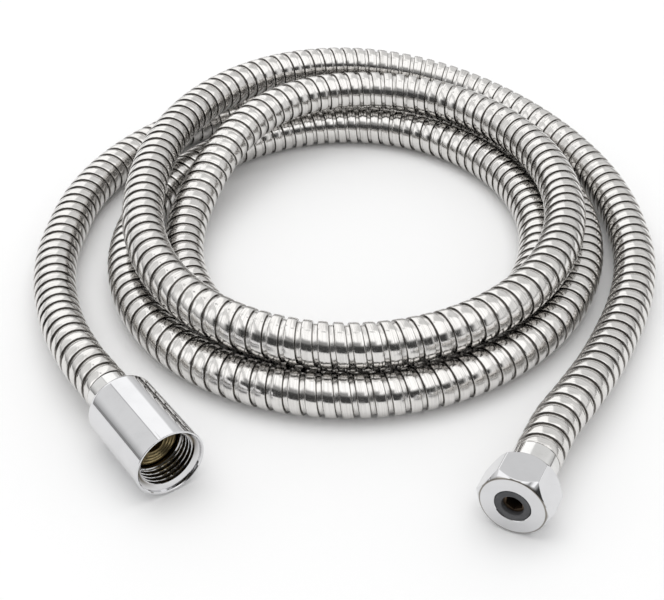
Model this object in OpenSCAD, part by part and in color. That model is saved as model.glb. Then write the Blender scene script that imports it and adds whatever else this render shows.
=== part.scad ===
// Coiled stainless steel spray hose with two swivelling end nuts.
//
// The hose is a strip-wound, ribbed metal sheath over a soft inner liner. It lies
// on a flat surface in a loose coil of three and a half turns, two layers high.
// A turned round nut (G1/2, handset end) and a hexagon nut (wall end) are captive
// on brass tails: each swivels on its tail and slides a few millimetres along it.
//
// Millimetres, +Z up. The origin is under the middle of the whole part, on the
// surface that it rests on.

/* [Hose] */

// Outer diameter of the ribbed sheath
hose_od = 16; // [14:0.5:17]
// Depth of the grooves between the ribs
groove_depth = 1; // [0.6:0.1:1.4]
// Ribs from end to end
rib_count = 150; // [90:2:150]
// Outer diameter of the liner, across the corners
liner_od = 9; // [8:0.2:9.6]
// Wall of the liner
liner_wall = 1; // [0.8:0.1:1.2]
// Radial gap between the liner and the sheath, at the corners
liner_gap = 0.7; // [0.5:0.1:0.8]

/* [Coil] */

// Width of the innermost turn, between centre lines
loop_width = 154; // [140:2:200]
// Depth of the innermost turn, between centre lines
loop_depth = 170; // [150:2:220]
// Clear gap between neighbouring turns
turn_gap = 0.9; // [0.6:0.1:3]

/* [Handset nut] */

// Diameter at the mouth
round_nut_od = 24.2; // [23:0.2:27]
// Radial taper from the mouth to the rounded shoulder
round_nut_taper = 0.6; // [0:0.1:1]
// Length over all
round_nut_length = 35; // [30:1:45]
// Plain bore at the minor diameter of the G1/2 thread
thread_minor_d = 18.631; // [18.4:0.001:18.8]
// Depth of the threaded bore, with the plain recess ahead of the thread
thread_depth = 11; // [9:0.5:13]
// Travel of the nut along its tail
round_nut_travel = 4; // [2:0.5:5]

/* [Wall nut] */

// Width across the flats
hex_af = 22; // [20:0.5:27]
// Length over all
hex_length = 13; // [12:0.5:18]
// Diameter of the mouth
hex_mouth_d = 11.8; // [11.4:0.1:12.6]
// Thickness of the rubber washer
washer_thickness = 2; // [1.5:0.1:2.4]

/* [Ferrules] */

// Radial step from the hose down to both smooth sleeves
ferrule_step = 0.1; // [0.1:0.05:0.3]
// Sleeve length at the handset end
handset_ferrule_length = 22; // [20:0.5:26]
// Sleeve length at the wall end
wall_ferrule_length = 8.5; // [8:0.5:12]

/* [Hidden] */

$fn = 64;

running_fit = 0.05;      // radial play of a slip ring, a stem and a liner
clear_fit = 0.35;        // radial gap where nothing bears

// ---- lay of the coil -------------------------------------------------------

hose_sides = 8;
liner_sides = 6;
liner_bore = liner_od - 2 * liner_wall;
sheath_bore = liner_od + 2 * liner_gap;
lane_pitch = hose_od + turn_gap;
layer_rise = lane_pitch * sin(60);
// a tenth of the diameter is cut flat where the hose rests
rest_height = 0.4 * hose_od;

// Quarter turns from the left side, clockwise from above, against the lane that
// the hose lies in there: 0 is the innermost, and each lane is one pitch wide.
coil_lanes = [
    [-1, 2.1], [0, 2.1], [1, 1], [3.5, 1], [4.5, -0.25], [5.5, 0], [7.2, 0],
    [8.3, -1.2], [9.35, 0.5], [11.4, 0.5], [12.1, -0.1], [13.1, 1.72],
    [13.6, 2.1], [15, 2.1]
];
// Quarter turns against the layer: 0 lies on the surface, 1 nests on two turns.
coil_layers = [
    [-1, 0], [7.4, 0], [8, 0.15], [8.6, 1.3], [9.4, 1], [11.2, 1], [11.9, 1.15],
    [12.7, 1.32], [13.1, 1.12], [13.65, 0], [15, 0]
];
coil_quarters = 14;
steps_per_quarter = 20;
// places the whole part, leads and nuts included, evenly about the Z axis
coil_centre = [-0.33, 21.63];
// half width, in quarter turns, of the stretch that a change of lane is eased over
ease_reach = 0.45;
ease_steps = 8;

function ease_weight(k) = (ease_steps + 1 - abs(k)) / pow(ease_steps + 1, 2);
function eased(q, table) = sum([for (k = [-ease_steps:ease_steps])
    ease_weight(k) * lookup(q + k / ease_steps * ease_reach, table)]);

function sum(values, i = 0) = i >= len(values) ? 0 : values[i] + sum(values, i + 1);

function coil_point(q) =
    let (lane = eased(q, coil_lanes) * lane_pitch)
    let (azimuth = 180 - 90 * q)
    [
        coil_centre.x + (loop_width / 2 + lane) * cos(azimuth),
        coil_centre.y + (loop_depth / 2 + lane) * sin(azimuth),
        rest_height + max(0, eased(q, coil_layers)) * layer_rise
    ];

// ---- the two leads, as steps from the end of the coil ----------------------

handset_heading = -55;
wall_heading = -116;
axis_lift = 0.3;
handset_axis_height = round_nut_od / 2 + axis_lift;
wall_axis_height = hex_af / 2 + axis_lift;
straight_run = 18;
// quarter turns between the last knot on the coil and its end
knot_step = 0.12;

handset_steps = [[-1, -20, 0], [1, -38, 0], [5, -54, 1], [11, -71, 3.5]];
handset_end_step = [31, -105];
wall_steps = [
    [-0.5, -20, 0], [-4, -38, 0], [-10, -56, 0], [-18, -74, 1], [-26, -90, 3],
    [-35.5, -106, 5]
];
wall_end_step = [-53.5, -137.1];

function heading(angle) = [cos(angle), sin(angle), 0];
function from_coil(q, steps) = [for (step = steps) coil_point(q) + step];
function end_point(q, step, height) = [coil_point(q).x + step.x, coil_point(q).y + step.y, height];

handset_end = end_point(0, handset_end_step, handset_axis_height);
wall_end = end_point(coil_quarters, wall_end_step, wall_axis_height);
handset_knots = concat(
    [coil_point(knot_step), coil_point(0)],
    from_coil(0, handset_steps),
    [handset_end - straight_run * heading(handset_heading), handset_end]
);
wall_knots = concat(
    [coil_point(coil_quarters - knot_step), coil_point(coil_quarters)],
    from_coil(coil_quarters, wall_steps),
    [wall_end - straight_run * heading(wall_heading), wall_end]
);

steps_per_knot = 6;

// Catmull-Rom curve between the second and the third of four points
function spline(a, b, c, d, t) =
    0.5 * (2 * b + (c - a) * t + (2 * a - 5 * b + 4 * c - d) * t * t
        + (3 * b - a - 3 * c + d) * t * t * t);

// from the end of the coil to the end of the sheath, then on to the shoulder of
// the tail that the liner is pushed up to
function lead_curve(knots, shoulder) = concat(
    [for (i = [1:len(knots) - 3], k = [0:steps_per_knot - 1])
        spline(knots[i - 1], knots[i], knots[i + 1], knots[i + 2], k / steps_per_knot)],
    [knots[len(knots) - 2], knots[len(knots) - 1], shoulder]
);

function reversed(list) = [for (i = [len(list) - 1:-1:0]) list[i]];

// thickness of the lip that a ferrule closes on its tail with
lip = 1.5;
handset_liner_stop = handset_ferrule_length - lip;
wall_liner_stop = wall_ferrule_length - lip;

// the whole centre line, from the handset tail's shoulder to the wall tail's
handset_curve = lead_curve(handset_knots, handset_end + handset_liner_stop * heading(handset_heading));
wall_curve = lead_curve(wall_knots, wall_end + wall_liner_stop * heading(wall_heading));
coil_steps = coil_quarters * steps_per_quarter;
coil_curve = [for (i = [1:coil_steps - 1]) coil_point(i / steps_per_quarter)];
route = concat(reversed(handset_curve), coil_curve, wall_curve);
run = [
    for (
        i = 0, s = 0;
        i < len(route);
        i = i + 1, s = i < len(route) ? s + norm(route[i] - route[i - 1]) : s
    ) s
];
liner_length = run[len(run) - 1];
sheath_length = liner_length - handset_liner_stop - wall_liner_stop;
coil_start_run = run_length(handset_curve);
coil_end_run = liner_length - run_length(wall_curve);

route_x = [for (i = [0:len(route) - 1]) [run[i], route[i].x]];
route_y = [for (i = [0:len(route) - 1]) [run[i], route[i].y]];
route_z = [for (i = [0:len(route) - 1]) [run[i], route[i].z]];

function run_length(points) = sum([for (i = [1:len(points) - 1]) norm(points[i] - points[i - 1])]);
function route_at(s) = [lookup(s, route_x), lookup(s, route_y), lookup(s, route_z)];
function unit(v) = v / norm(v);
function route_direction(s) =
    unit(route_at(min(s + 1, liner_length)) - route_at(max(s - 1, 0)));

// ---- swept tubes -----------------------------------------------------------

function ring(s, radius, sides, floor_z) =
    let (along = route_direction(s))
    let (across = unit(cross(along, [0, 0, 1])))
    let (up = cross(across, along))
    [for (k = [0:sides - 1])
        let (angle = (k + 0.5) * 360 / sides - 90)
        let (p = route_at(s) + radius * (cos(angle) * across + sin(angle) * up))
        [p.x, p.y, max(p.z, floor_z)]];

// two triangles for each side of each gap between rings
function strip(first_ring, rings, sides, inward) = [
    for (r = [first_ring:first_ring + rings - 2], k = [0:sides - 1], half = [0, 1])
        let (a = r * sides + k)
        let (b = r * sides + (k + 1) % sides)
        let (face = half == 0 ? [a, b, b + sides] : [a, b + sides, a + sides])
        inward ? [face[2], face[1], face[0]] : face
];

// the flat ring between an outer and an inner ring
function end_face(outer, inner, sides, facing_on) = [
    for (k = [0:sides - 1], half = [0, 1])
        let (a = outer * sides + k)
        let (b = outer * sides + (k + 1) % sides)
        let (c = inner * sides + k)
        let (d = inner * sides + (k + 1) % sides)
        let (face = half == 0 ? [a, c, d] : [a, d, b])
        facing_on ? [face[2], face[1], face[0]] : face
];

// outside is a list of [run, radius]; inside is a list of runs
module swept_tube(outside, inside, bore_radius, sides) {
    outer_points = [for (o = outside) each ring(o[0], o[1], sides, 0)];
    inner_points = [for (s = inside) each ring(s, bore_radius, sides, 0)];
    n_out = len(outside);
    n_in = len(inside);
    polyhedron(
        points = concat(outer_points, inner_points),
        faces = concat(
            strip(0, n_out, sides, false),
            strip(n_out, n_in, sides, true),
            end_face(0, n_out, sides, false),
            end_face(n_out - 1, n_out + n_in - 1, sides, true)
        ),
        convexity = 10
    );
}

rib_pitch = sheath_length / rib_count;
first_coil_rib = round((coil_start_run - handset_liner_stop) / rib_pitch);
last_coil_rib = round((coil_end_run - handset_liner_stop) / rib_pitch);
crest_radius = hose_od / 2;
groove_radius = crest_radius - groove_depth;

function rib_run(rib) = handset_liner_stop + rib * rib_pitch;

// the bore is smooth, so it takes fewer rings than the ribs do
bore_rings_per_rib = 0.62;
function bore_runs(from_rib, to_rib) =
    let (count = round((to_rib - from_rib) * bore_rings_per_rib))
    [for (i = [0:count]) rib_run(from_rib + (to_rib - from_rib) * i / count)];

// each rib is a groove ring at its start and a crest ring at its middle
module ribbed_sheath(from_rib, to_rib) {
    rings = [for (i = [from_rib:to_rib - 1])
        each [[rib_run(i), groove_radius], [rib_run(i + 0.5), crest_radius]]];
    color([0.80, 0.80, 0.79])
        swept_tube(
            concat(rings, [[rib_run(to_rib), groove_radius]]),
            bore_runs(from_rib, to_rib), sheath_bore / 2, hose_sides
        );
}

module sheath_handset_lead() ribbed_sheath(0, first_coil_rib);

module sheath_coil() ribbed_sheath(first_coil_rib, last_coil_rib);

module sheath_wall_lead() ribbed_sheath(last_coil_rib, rib_count);

// one unbroken tube, with its rings where the rings of the bore are
module liner() {
    runs = concat(
        [0],
        bore_runs(0, first_coil_rib),
        [for (s = bore_runs(first_coil_rib, last_coil_rib)) if (s > rib_run(first_coil_rib)) s],
        [for (s = bore_runs(last_coil_rib, rib_count)) if (s > rib_run(last_coil_rib)) s],
        [liner_length]
    );
    color([0.16, 0.16, 0.17])
        swept_tube([for (s = runs) [s, liner_od / 2]], runs, liner_bore / 2, liner_sides);
}

// least gap of the hose to itself, measured between points of its centre line
gap_step = 9;
gap_skip = 7;
gap_points = [for (s = [0:gap_step:liner_length]) route_at(s)];
self_gap = min([for (i = [0:len(gap_points) - gap_skip - 1], j = [i + gap_skip:len(gap_points) - 1])
    norm(gap_points[i] - gap_points[j])]) - hose_od;
union() {
    echo(sheath_length = sheath_length, liner_length = liner_length);
    echo(self_gap = self_gap, rib_pitch = rib_pitch);
    echo(handset_end = handset_end, wall_end = wall_end);
    echo(coil_start = coil_point(0), coil_end = coil_point(coil_quarters));
    echo(round_nut_mouth = round_nut_mouth, wall_nut_mouth = wall_nut_mouth);
    echo(round_nut_travel = round_nut_travel, hex_nut_travel = hex_nut_travel);
}

// ---- fittings: each is drawn along +Z from the end of the sheath -----------

module at_handset_end() {
    translate(handset_end) rotate([0, 90, handset_heading]) children();
}

module at_wall_end() {
    translate(wall_end) rotate([0, 90, wall_heading]) children();
}

module turned(profile) rotate_extrude() polygon(profile);

ferrule_od = hose_od - 2 * ferrule_step;
ferrule_bore = liner_od + 2 * running_fit;
end_play = 0.4;          // left between a nut and its ferrule at the end of its travel
slip_ring_thickness = 1.5;
seat_play = 0.05;
barb_height = 0.2;
barb_length = 4;
liner_bore_flats = liner_bore * cos(180 / liner_sides);
stem_d = liner_bore_flats - 2 * barb_height - 2 * running_fit;
stem_wall = 0.75;
stem_bore = stem_d - 2 * stem_wall;
brass = [0.72, 0.58, 0.32];
chrome = [0.86, 0.87, 0.88];

// a smooth sleeve with a rolled lip that closes on the neck of the tail
module ferrule(length, neck_d) {
    roll = 1;
    color(chrome) turned([
        [ferrule_bore / 2, 0],
        [ferrule_od / 2 - 0.3, 0],
        [ferrule_od / 2, 0.3],
        [ferrule_od / 2, length - roll],
        [ferrule_od / 2 - roll, length],
        [neck_d / 2, length],
        [neck_d / 2, length - lip],
        [ferrule_bore / 2, length - lip]
    ]);
}

// the stem that the liner is pushed on to, with its barbs
module stem(length) {
    barbs = floor((length - 2) / barb_length);
    turned(concat(
        [[stem_bore / 2, 0], [stem_d / 2 - 0.4, 0]],
        [for (i = [0:barbs - 1]) each [
            [stem_d / 2 - 0.1, 1 + i * barb_length],
            [stem_d / 2 + barb_height, (i + 1) * barb_length],
            [stem_d / 2 - 0.1, (i + 1) * barb_length + 0.1]
        ]],
        [[stem_d / 2 - 0.1, length], [stem_bore / 2, length]]
    ));
}

// -- handset end

flange_thickness = 2.5;
handset_seat = handset_ferrule_length + end_play + round_nut_travel;
flange_back = handset_seat + slip_ring_thickness + 2 * seat_play;
flange_face = flange_back + flange_thickness;
round_nut_mouth = flange_face + 0.5 + thread_depth;
round_nut_rear = round_nut_mouth - round_nut_length;
neck_step = 1.4;
seat_width = 0.85;
handset_neck_d = ferrule_od - 2 * neck_step;
nut_sleeve_bore = ferrule_od + 2 * clear_fit;
nut_counterbore_d = nut_sleeve_bore + 2 * seat_width;
handset_flange_d = nut_counterbore_d - 2 * clear_fit;
handset_bore = stem_bore + 3.4;
ring_pitch = 1.3;
ring_depth = 0.25;

module handset_ferrule() at_handset_end() ferrule(handset_ferrule_length, handset_neck_d);

module handset_tail() {
    liner_stop = handset_liner_stop;
    color(brass) at_handset_end() difference() {
        union() {
            stem(liner_stop + 1);
            translate([0, 0, liner_stop]) turned([
                [stem_bore / 2, 0], [handset_neck_d / 2, 0],
                [handset_neck_d / 2, flange_back - liner_stop],
                [handset_flange_d / 2 - 0.3, flange_back - liner_stop],
                [handset_flange_d / 2, flange_back - liner_stop + 0.3],
                [handset_flange_d / 2, flange_face - liner_stop - 0.3],
                [handset_flange_d / 2 - 0.3, flange_face - liner_stop],
                [stem_bore / 2, flange_face - liner_stop]
            ]);
        }
        translate([0, 0, liner_stop + 1.5])
            cylinder(h = flange_face, d = handset_bore);
        // rings turned into the sealing face
        for (i = [1:3]) translate([0, 0, flange_face]) turned([
            [handset_bore / 2 + i * ring_pitch - ring_depth, 0],
            [handset_bore / 2 + i * ring_pitch, -ring_depth],
            [handset_bore / 2 + i * ring_pitch + ring_depth, 0],
            [handset_bore / 2 + i * ring_pitch, 1]
        ]);
    }
}

module slip_ring(inner_d, outer_d) {
    color([0.93, 0.93, 0.90]) difference() {
        cylinder(h = slip_ring_thickness, d = outer_d);
        translate([0, 0, -1]) cylinder(h = slip_ring_thickness + 2, d = inner_d);
    }
}

module handset_slip_ring() {
    at_handset_end() translate([0, 0, handset_seat + seat_play])
        slip_ring(handset_neck_d + 2 * running_fit, nut_counterbore_d - 2 * running_fit);
}

// the shell is slightly conical, with a rounded shoulder and a broken mouth edge
module handset_nut() {
    shoulder = 2.6;
    recess_d = 21.6;
    recess_depth = 2;
    mouth_chamfer = 0.4;
    rear_r = round_nut_od / 2 - round_nut_taper;
    arc_steps = 6;
    color(chrome) at_handset_end() difference() {
        turned(concat(
            [[0, round_nut_rear], [rear_r - shoulder, round_nut_rear]],
            [for (i = [1:arc_steps])
                let (angle = 90 * i / arc_steps)
                [rear_r - shoulder + shoulder * sin(angle), round_nut_rear + shoulder * (1 - cos(angle))]],
            [
                [round_nut_od / 2, round_nut_mouth - 4],
                [round_nut_od / 2, round_nut_mouth - 0.5],
                [round_nut_od / 2 - 0.5, round_nut_mouth],
                [0, round_nut_mouth]
            ]
        ));
        translate([0, 0, round_nut_mouth - thread_depth])
            cylinder(h = thread_depth + 1, d = thread_minor_d);
        translate([0, 0, handset_seat])
            cylinder(h = round_nut_mouth - handset_seat - thread_depth + 0.01, d = nut_counterbore_d);
        translate([0, 0, round_nut_rear - 1])
            cylinder(h = round_nut_length, d = nut_sleeve_bore);
        // plain recess ahead of the thread, with its edge broken
        translate([0, 0, round_nut_mouth - recess_depth])
            cylinder(h = recess_depth + 1, d = recess_d);
        translate([0, 0, round_nut_mouth - mouth_chamfer])
            cylinder(h = mouth_chamfer + 0.01, d1 = recess_d, d2 = recess_d + 2 * mouth_chamfer);
    }
}

// -- wall end

wall_nut_rear = wall_ferrule_length + end_play;
wall_nut_mouth = wall_nut_rear + hex_length;
wall_neck_d = hex_mouth_d - 3.4;
wall_flange_d = hex_mouth_d - 2 * clear_fit;
wall_flange_thickness = 2.3;
wall_flange_face = wall_nut_mouth - washer_thickness;
wall_flange_back = wall_flange_face - wall_flange_thickness;
wall_seat = wall_nut_rear + 3;
hex_nut_travel = wall_flange_back - wall_seat - slip_ring_thickness - 2 * seat_play;
wall_bore = stem_bore + 0.6;
socket_af = wall_neck_d - 3.2;
socket_depth = 5;
washer_width = 2;
washer_od = hex_mouth_d - 2 * clear_fit;
washer_bore = washer_od - 2 * washer_width;

module wall_ferrule() at_wall_end() ferrule(wall_ferrule_length, wall_neck_d);

module wall_tail() {
    liner_stop = wall_liner_stop;
    color(brass) at_wall_end() difference() {
        union() {
            stem(liner_stop + 1);
            translate([0, 0, liner_stop]) turned([
                [stem_bore / 2, 0], [wall_neck_d / 2, 0],
                [wall_neck_d / 2, wall_flange_back - liner_stop],
                [wall_flange_d / 2, wall_flange_back - liner_stop],
                [wall_flange_d / 2, wall_flange_face - liner_stop],
                [stem_bore / 2, wall_flange_face - liner_stop]
            ]);
        }
        translate([0, 0, liner_stop + 1.5])
            cylinder(h = wall_flange_face, d = wall_bore);
        // key socket that the tail is held by
        translate([0, 0, wall_flange_face - socket_depth])
            cylinder(h = socket_depth + 1, d = socket_af / cos(30), $fn = 6);
    }
}

module wall_slip_ring() {
    at_wall_end() translate([0, 0, wall_seat + seat_play])
        slip_ring(wall_neck_d + 2 * running_fit, hex_mouth_d - 2 * running_fit);
}

module wall_washer() {
    color([0.22, 0.22, 0.23]) at_wall_end() difference() {
        translate([0, 0, wall_flange_face]) cylinder(h = washer_thickness, d = washer_od);
        translate([0, 0, wall_flange_face - 1]) cylinder(h = washer_thickness + 2, d = washer_bore);
    }
}

// a hexagon with its corners chamfered round both faces
module wall_nut() {
    corner_r = hex_af / 2 / cos(30);
    face_r = hex_af / 2 - 0.15;
    chamfer_rise = (corner_r - face_r) * tan(30);
    color(chrome) at_wall_end() difference() {
        intersection() {
            translate([0, 0, wall_nut_rear])
                rotate(30) cylinder(h = hex_length, r = corner_r, $fn = 6);
            turned([
                [0, wall_nut_rear],
                [face_r, wall_nut_rear],
                [corner_r, wall_nut_rear + chamfer_rise],
                [corner_r + 1, wall_nut_rear + chamfer_rise],
                [corner_r + 1, wall_nut_mouth - chamfer_rise],
                [corner_r, wall_nut_mouth - chamfer_rise],
                [face_r, wall_nut_mouth],
                [0, wall_nut_mouth]
            ]);
        }
        translate([0, 0, wall_seat]) cylinder(h = hex_length, d = hex_mouth_d);
        translate([0, 0, wall_nut_rear - 1])
            cylinder(h = hex_length, d = wall_neck_d + 2 * clear_fit);
    }
}

sheath_handset_lead();
sheath_coil();
sheath_wall_lead();
liner();
handset_ferrule();
handset_tail();
handset_slip_ring();
handset_nut();
wall_ferrule();
wall_tail();
wall_slip_ring();
wall_nut();
wall_washer();
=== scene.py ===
"""A coiled, strip-wound metal spray hose with a captive swivel nut on each end.

The hose is one helical strip of bright steel over a soft liner. A long round nut turns
on the handset end's brass tail and a hexagon nut turns on the wall end's, and both
slide a few millimetres along their tails. Lengths are in metres.
"""
import logging
import math
from dataclasses import dataclass
from enum import Enum
from typing import Callable, Optional, Sequence

import bmesh
import bpy
import numpy as np
from mathutils import Euler, Matrix, Vector


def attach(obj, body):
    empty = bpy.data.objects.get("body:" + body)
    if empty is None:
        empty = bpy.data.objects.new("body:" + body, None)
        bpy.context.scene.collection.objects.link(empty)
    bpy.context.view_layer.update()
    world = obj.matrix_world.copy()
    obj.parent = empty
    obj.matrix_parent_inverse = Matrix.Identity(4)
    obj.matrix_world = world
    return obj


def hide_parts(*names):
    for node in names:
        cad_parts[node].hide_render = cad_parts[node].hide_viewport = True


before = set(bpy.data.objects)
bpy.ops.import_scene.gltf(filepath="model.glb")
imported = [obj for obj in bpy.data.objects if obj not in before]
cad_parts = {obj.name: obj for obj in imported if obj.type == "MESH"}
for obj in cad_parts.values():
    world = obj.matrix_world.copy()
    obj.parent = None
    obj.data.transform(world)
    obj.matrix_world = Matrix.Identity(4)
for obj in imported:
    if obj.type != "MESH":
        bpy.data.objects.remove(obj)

LOG = logging.getLogger("spray_hose")
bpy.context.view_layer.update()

MM = 0.001
FRAME_WIDTH = 664  # of the picture, in pixels
MERGE_DISTANCE = 1e-7
SAME_PLACE = 1e-6
SAME_RADIUS = 0.2 * MM
LATHE_RADIUS = 10 * MM  # turns an angle into a length for the lathe lines
METAL, NOT_METAL = 1.0, 0.0
NOISE_ROUGHNESS = 0.55  # how strong the finer octaves of every noise are

Colour = tuple[float, float, float]
Stretch = tuple[float, float, float]
Span = tuple[float, float]
Profile = list[tuple[float, float]]
Corners = list[tuple[float, float, float]]
Object = bpy.types.Object
Socket = bpy.types.NodeSocket
Material = bpy.types.Material


class End(Enum):
    """The two ends of the hose, by the first word of their nodes' names."""

    HANDSET = "handset"
    WALL = "wall"


# ---------------------------------------------------------------------------
# Outlines and meshes
# ---------------------------------------------------------------------------


def arc(centre: tuple[float, float], radius: float, start: float, stop: float, steps: int) -> Profile:
    """Points on an arc, both ends included.

    Args:
        centre: Middle of the arc.
        radius: Its radius.
        start: First angle in degrees.
        stop: Last angle in degrees.
        steps: Number of straight steps.

    Returns:
        steps + 1 points.
    """
    angles = [math.radians(start + (stop - start) * i / steps) for i in range(steps + 1)]
    return [(centre[0] + radius * math.cos(a), centre[1] + radius * math.sin(a)) for a in angles]


def rounded(corners: Corners, steps: int = 4) -> Profile:
    """A closed outline with its corners rounded.

    Args:
        corners: (along, radius, fillet) of each corner in order. A fillet of 0 stays sharp.
        steps: Straight steps in each rounded corner.

    Returns:
        The outline's points, the same number for the same fillets.
    """
    outline: Profile = []
    count = len(corners)
    for i, (z, r, fillet) in enumerate(corners):
        here = Vector((z, r))
        if fillet <= 0:
            outline.append((z, r))
            continue
        before = (Vector(corners[i - 1][:2]) - here).normalized()
        after = (Vector(corners[(i + 1) % count][:2]) - here).normalized()
        half_turn = before.angle(after) / 2
        reach = fillet / math.tan(half_turn)
        middle = here + (before + after).normalized() * (fillet / math.sin(half_turn))
        first = here + before * reach - middle
        last = here + after * reach - middle
        start, stop = math.atan2(first.y, first.x), math.atan2(last.y, last.x)
        turn = (stop - start + math.pi) % (2 * math.pi) - math.pi
        outline += arc(tuple(middle), fillet, math.degrees(start), math.degrees(start + turn), steps)
    return outline


def subdivided(outline: Profile, start: float, stop: float, step: float) -> Profile:
    """The outline with points added along the straight run between two places.

    Args:
        outline: Closed outline of (along, radius) points.
        start: Lowest place along the axis of the run that is divided.
        stop: Highest place.
        step: Distance between the added points.

    Returns:
        The outline with the run's points added.
    """
    result: Profile = []
    for i, (z, r) in enumerate(outline):
        result.append((z, r))
        z2, r2 = outline[(i + 1) % len(outline)]
        low, high = min(z, z2), max(z, z2)
        level = abs(r2 - r) < SAME_RADIUS
        if level and low <= start + SAME_PLACE and high >= stop - SAME_PLACE:
            count = max(1, round(abs(z2 - z) / step))
            result += [(z + (z2 - z) * k / count, r + (r2 - r) * k / count) for k in range(1, count)]
    return result


def mesh_object(name: str, vertices: np.ndarray, faces: Sequence[Sequence[int]]) -> Object:
    """A smooth-shaded object in the scene.

    Args:
        name: Name of the object and its mesh.
        vertices: One row of three numbers for each vertex.
        faces: Vertex numbers of each face.

    Returns:
        The new object.
    """
    mesh = bpy.data.meshes.new(name)
    mesh.from_pydata(np.asarray(vertices).tolist(), [], [list(map(int, f)) for f in faces])
    mesh.polygons.foreach_set("use_smooth", [True] * len(mesh.polygons))
    mesh.update()
    obj = bpy.data.objects.new(name, mesh)
    bpy.context.scene.collection.objects.link(obj)
    return obj


def places_of(obj: Object) -> np.ndarray:
    """Where a mesh's vertices are.

    Args:
        obj: Mesh object.

    Returns:
        One row for each vertex.
    """
    places = np.zeros(len(obj.data.vertices) * 3, np.float32)
    obj.data.vertices.foreach_get("co", places)
    return places.reshape(-1, 3)


def set_values(obj: Object, name: str, values: np.ndarray) -> None:
    """Stores one number or one place for each vertex.

    Args:
        obj: Mesh object.
        name: Name of the attribute.
        values: One number or one row of three for each vertex.
    """
    if values.ndim == 1:
        obj.data.attributes.new(name, "FLOAT", "POINT").data.foreach_set("value", values.astype(np.float32))
    else:
        data = obj.data.attributes.new(name, "FLOAT_VECTOR", "POINT").data
        data.foreach_set("vector", values.astype(np.float32).ravel())


def grid_faces(rows: int, columns: int) -> np.ndarray:
    """Faces of a grid that closes on itself both ways.

    Args:
        rows: Number of rows of vertices.
        columns: Vertices in each row.

    Returns:
        One row of four vertex numbers for each face.
    """
    r = np.arange(rows)[:, None]
    c = np.arange(columns)[None, :]
    r2, c2 = (r + 1) % rows, (c + 1) % columns
    here, there = r * columns, r2 * columns
    return np.stack([here + c, here + c2, there + c2, there + c], -1).reshape(-1, 4)


def finish_mesh(obj: Object, crease: float = 32.0) -> Object:
    """Turns the faces outwards, marks the creases and weights the normals by area.

    Args:
        obj: Closed mesh object.
        crease: Angle in degrees above which an edge is sharp.

    Returns:
        The same object.
    """
    work = bmesh.new()
    work.from_mesh(obj.data)
    bmesh.ops.remove_doubles(work, verts=work.verts, dist=MERGE_DISTANCE)
    bmesh.ops.recalc_face_normals(work, faces=work.faces)
    work.to_mesh(obj.data)
    work.free()
    obj.data.set_sharp_from_angle(angle=math.radians(crease))
    weighted = obj.modifiers.new("even_shading", "WEIGHTED_NORMAL")
    weighted.keep_sharp = True
    return obj


def turned(
    name: str,
    outline: Profile,
    segments: int = 96,
    cut: Optional[Callable[[np.ndarray, np.ndarray, np.ndarray], np.ndarray]] = None,
) -> Object:
    """A ring turned from a closed outline about the Z axis.

    Args:
        name: Name of the object.
        outline: Closed outline of (along, radius) points, clear of the axis.
        segments: Steps round the axis.
        cut: Gives the radius to add for arrays of angle, place along and radius.

    Returns:
        The new object, with its axis on Z.
    """
    z, r = np.array(outline).T
    angle = np.linspace(0, 2 * math.pi, segments, endpoint=False)[:, None]
    z, r = np.broadcast_to(z, (segments, len(z))), np.broadcast_to(r, (segments, len(r)))
    radius = r + (cut(angle, z, r) if cut else 0)
    vertices = np.stack([radius * np.cos(angle), radius * np.sin(angle), z], -1).reshape(-1, 3)
    return finish_mesh(mesh_object(name, vertices, grid_faces(segments, len(outline))))


@dataclass(frozen=True)
class InnerThread:
    """A thread cut into the wall of a bore.

    Attributes:
        start: Where the full thread starts, along the axis.
        stop: Where it runs out.
        depth: Depth of the cut.
        pitch: Distance from crest to crest.
        bore: Radius of the bore that it is cut in.
        root: Height at which the two flanks would meet, in depths.
        slope: How far a flank falls over one pitch, in depths.
        fade: Length over which each end of the thread fades, in pitches.
        reach: How far from the bore a point may be and still be cut.
    """

    start: float
    stop: float
    depth: float
    pitch: float
    bore: float
    root: float = 1.55
    slope: float = 3.6
    fade: float = 0.4
    reach: float = 0.25 * MM

    def cut(self, angle: np.ndarray, z: np.ndarray, r: np.ndarray) -> np.ndarray:
        """Radius to add at each point of the bore.

        Args:
            angle: Angle about the axis.
            z: Place along the axis.
            r: Radius before the cut.

        Returns:
            The depth of the thread there, and 0 away from the bore.
        """
        phase = (z / self.pitch - angle / (2 * math.pi)) % 1.0
        flank = np.clip(self.root - self.slope * np.abs(phase - 0.5), 0.0, 1.0)
        rounded_flank = flank * flank * (3 - 2 * flank)
        fade_length = self.fade * self.pitch
        faded = np.clip((z - self.start) / fade_length, 0, 1) * np.clip((self.stop - z) / fade_length, 0, 1)
        in_bore = np.abs(r - self.bore) < self.reach
        return np.where(in_bore, self.depth * rounded_flank * faded, 0.0)


# ---------------------------------------------------------------------------
# Finishes
# ---------------------------------------------------------------------------


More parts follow.
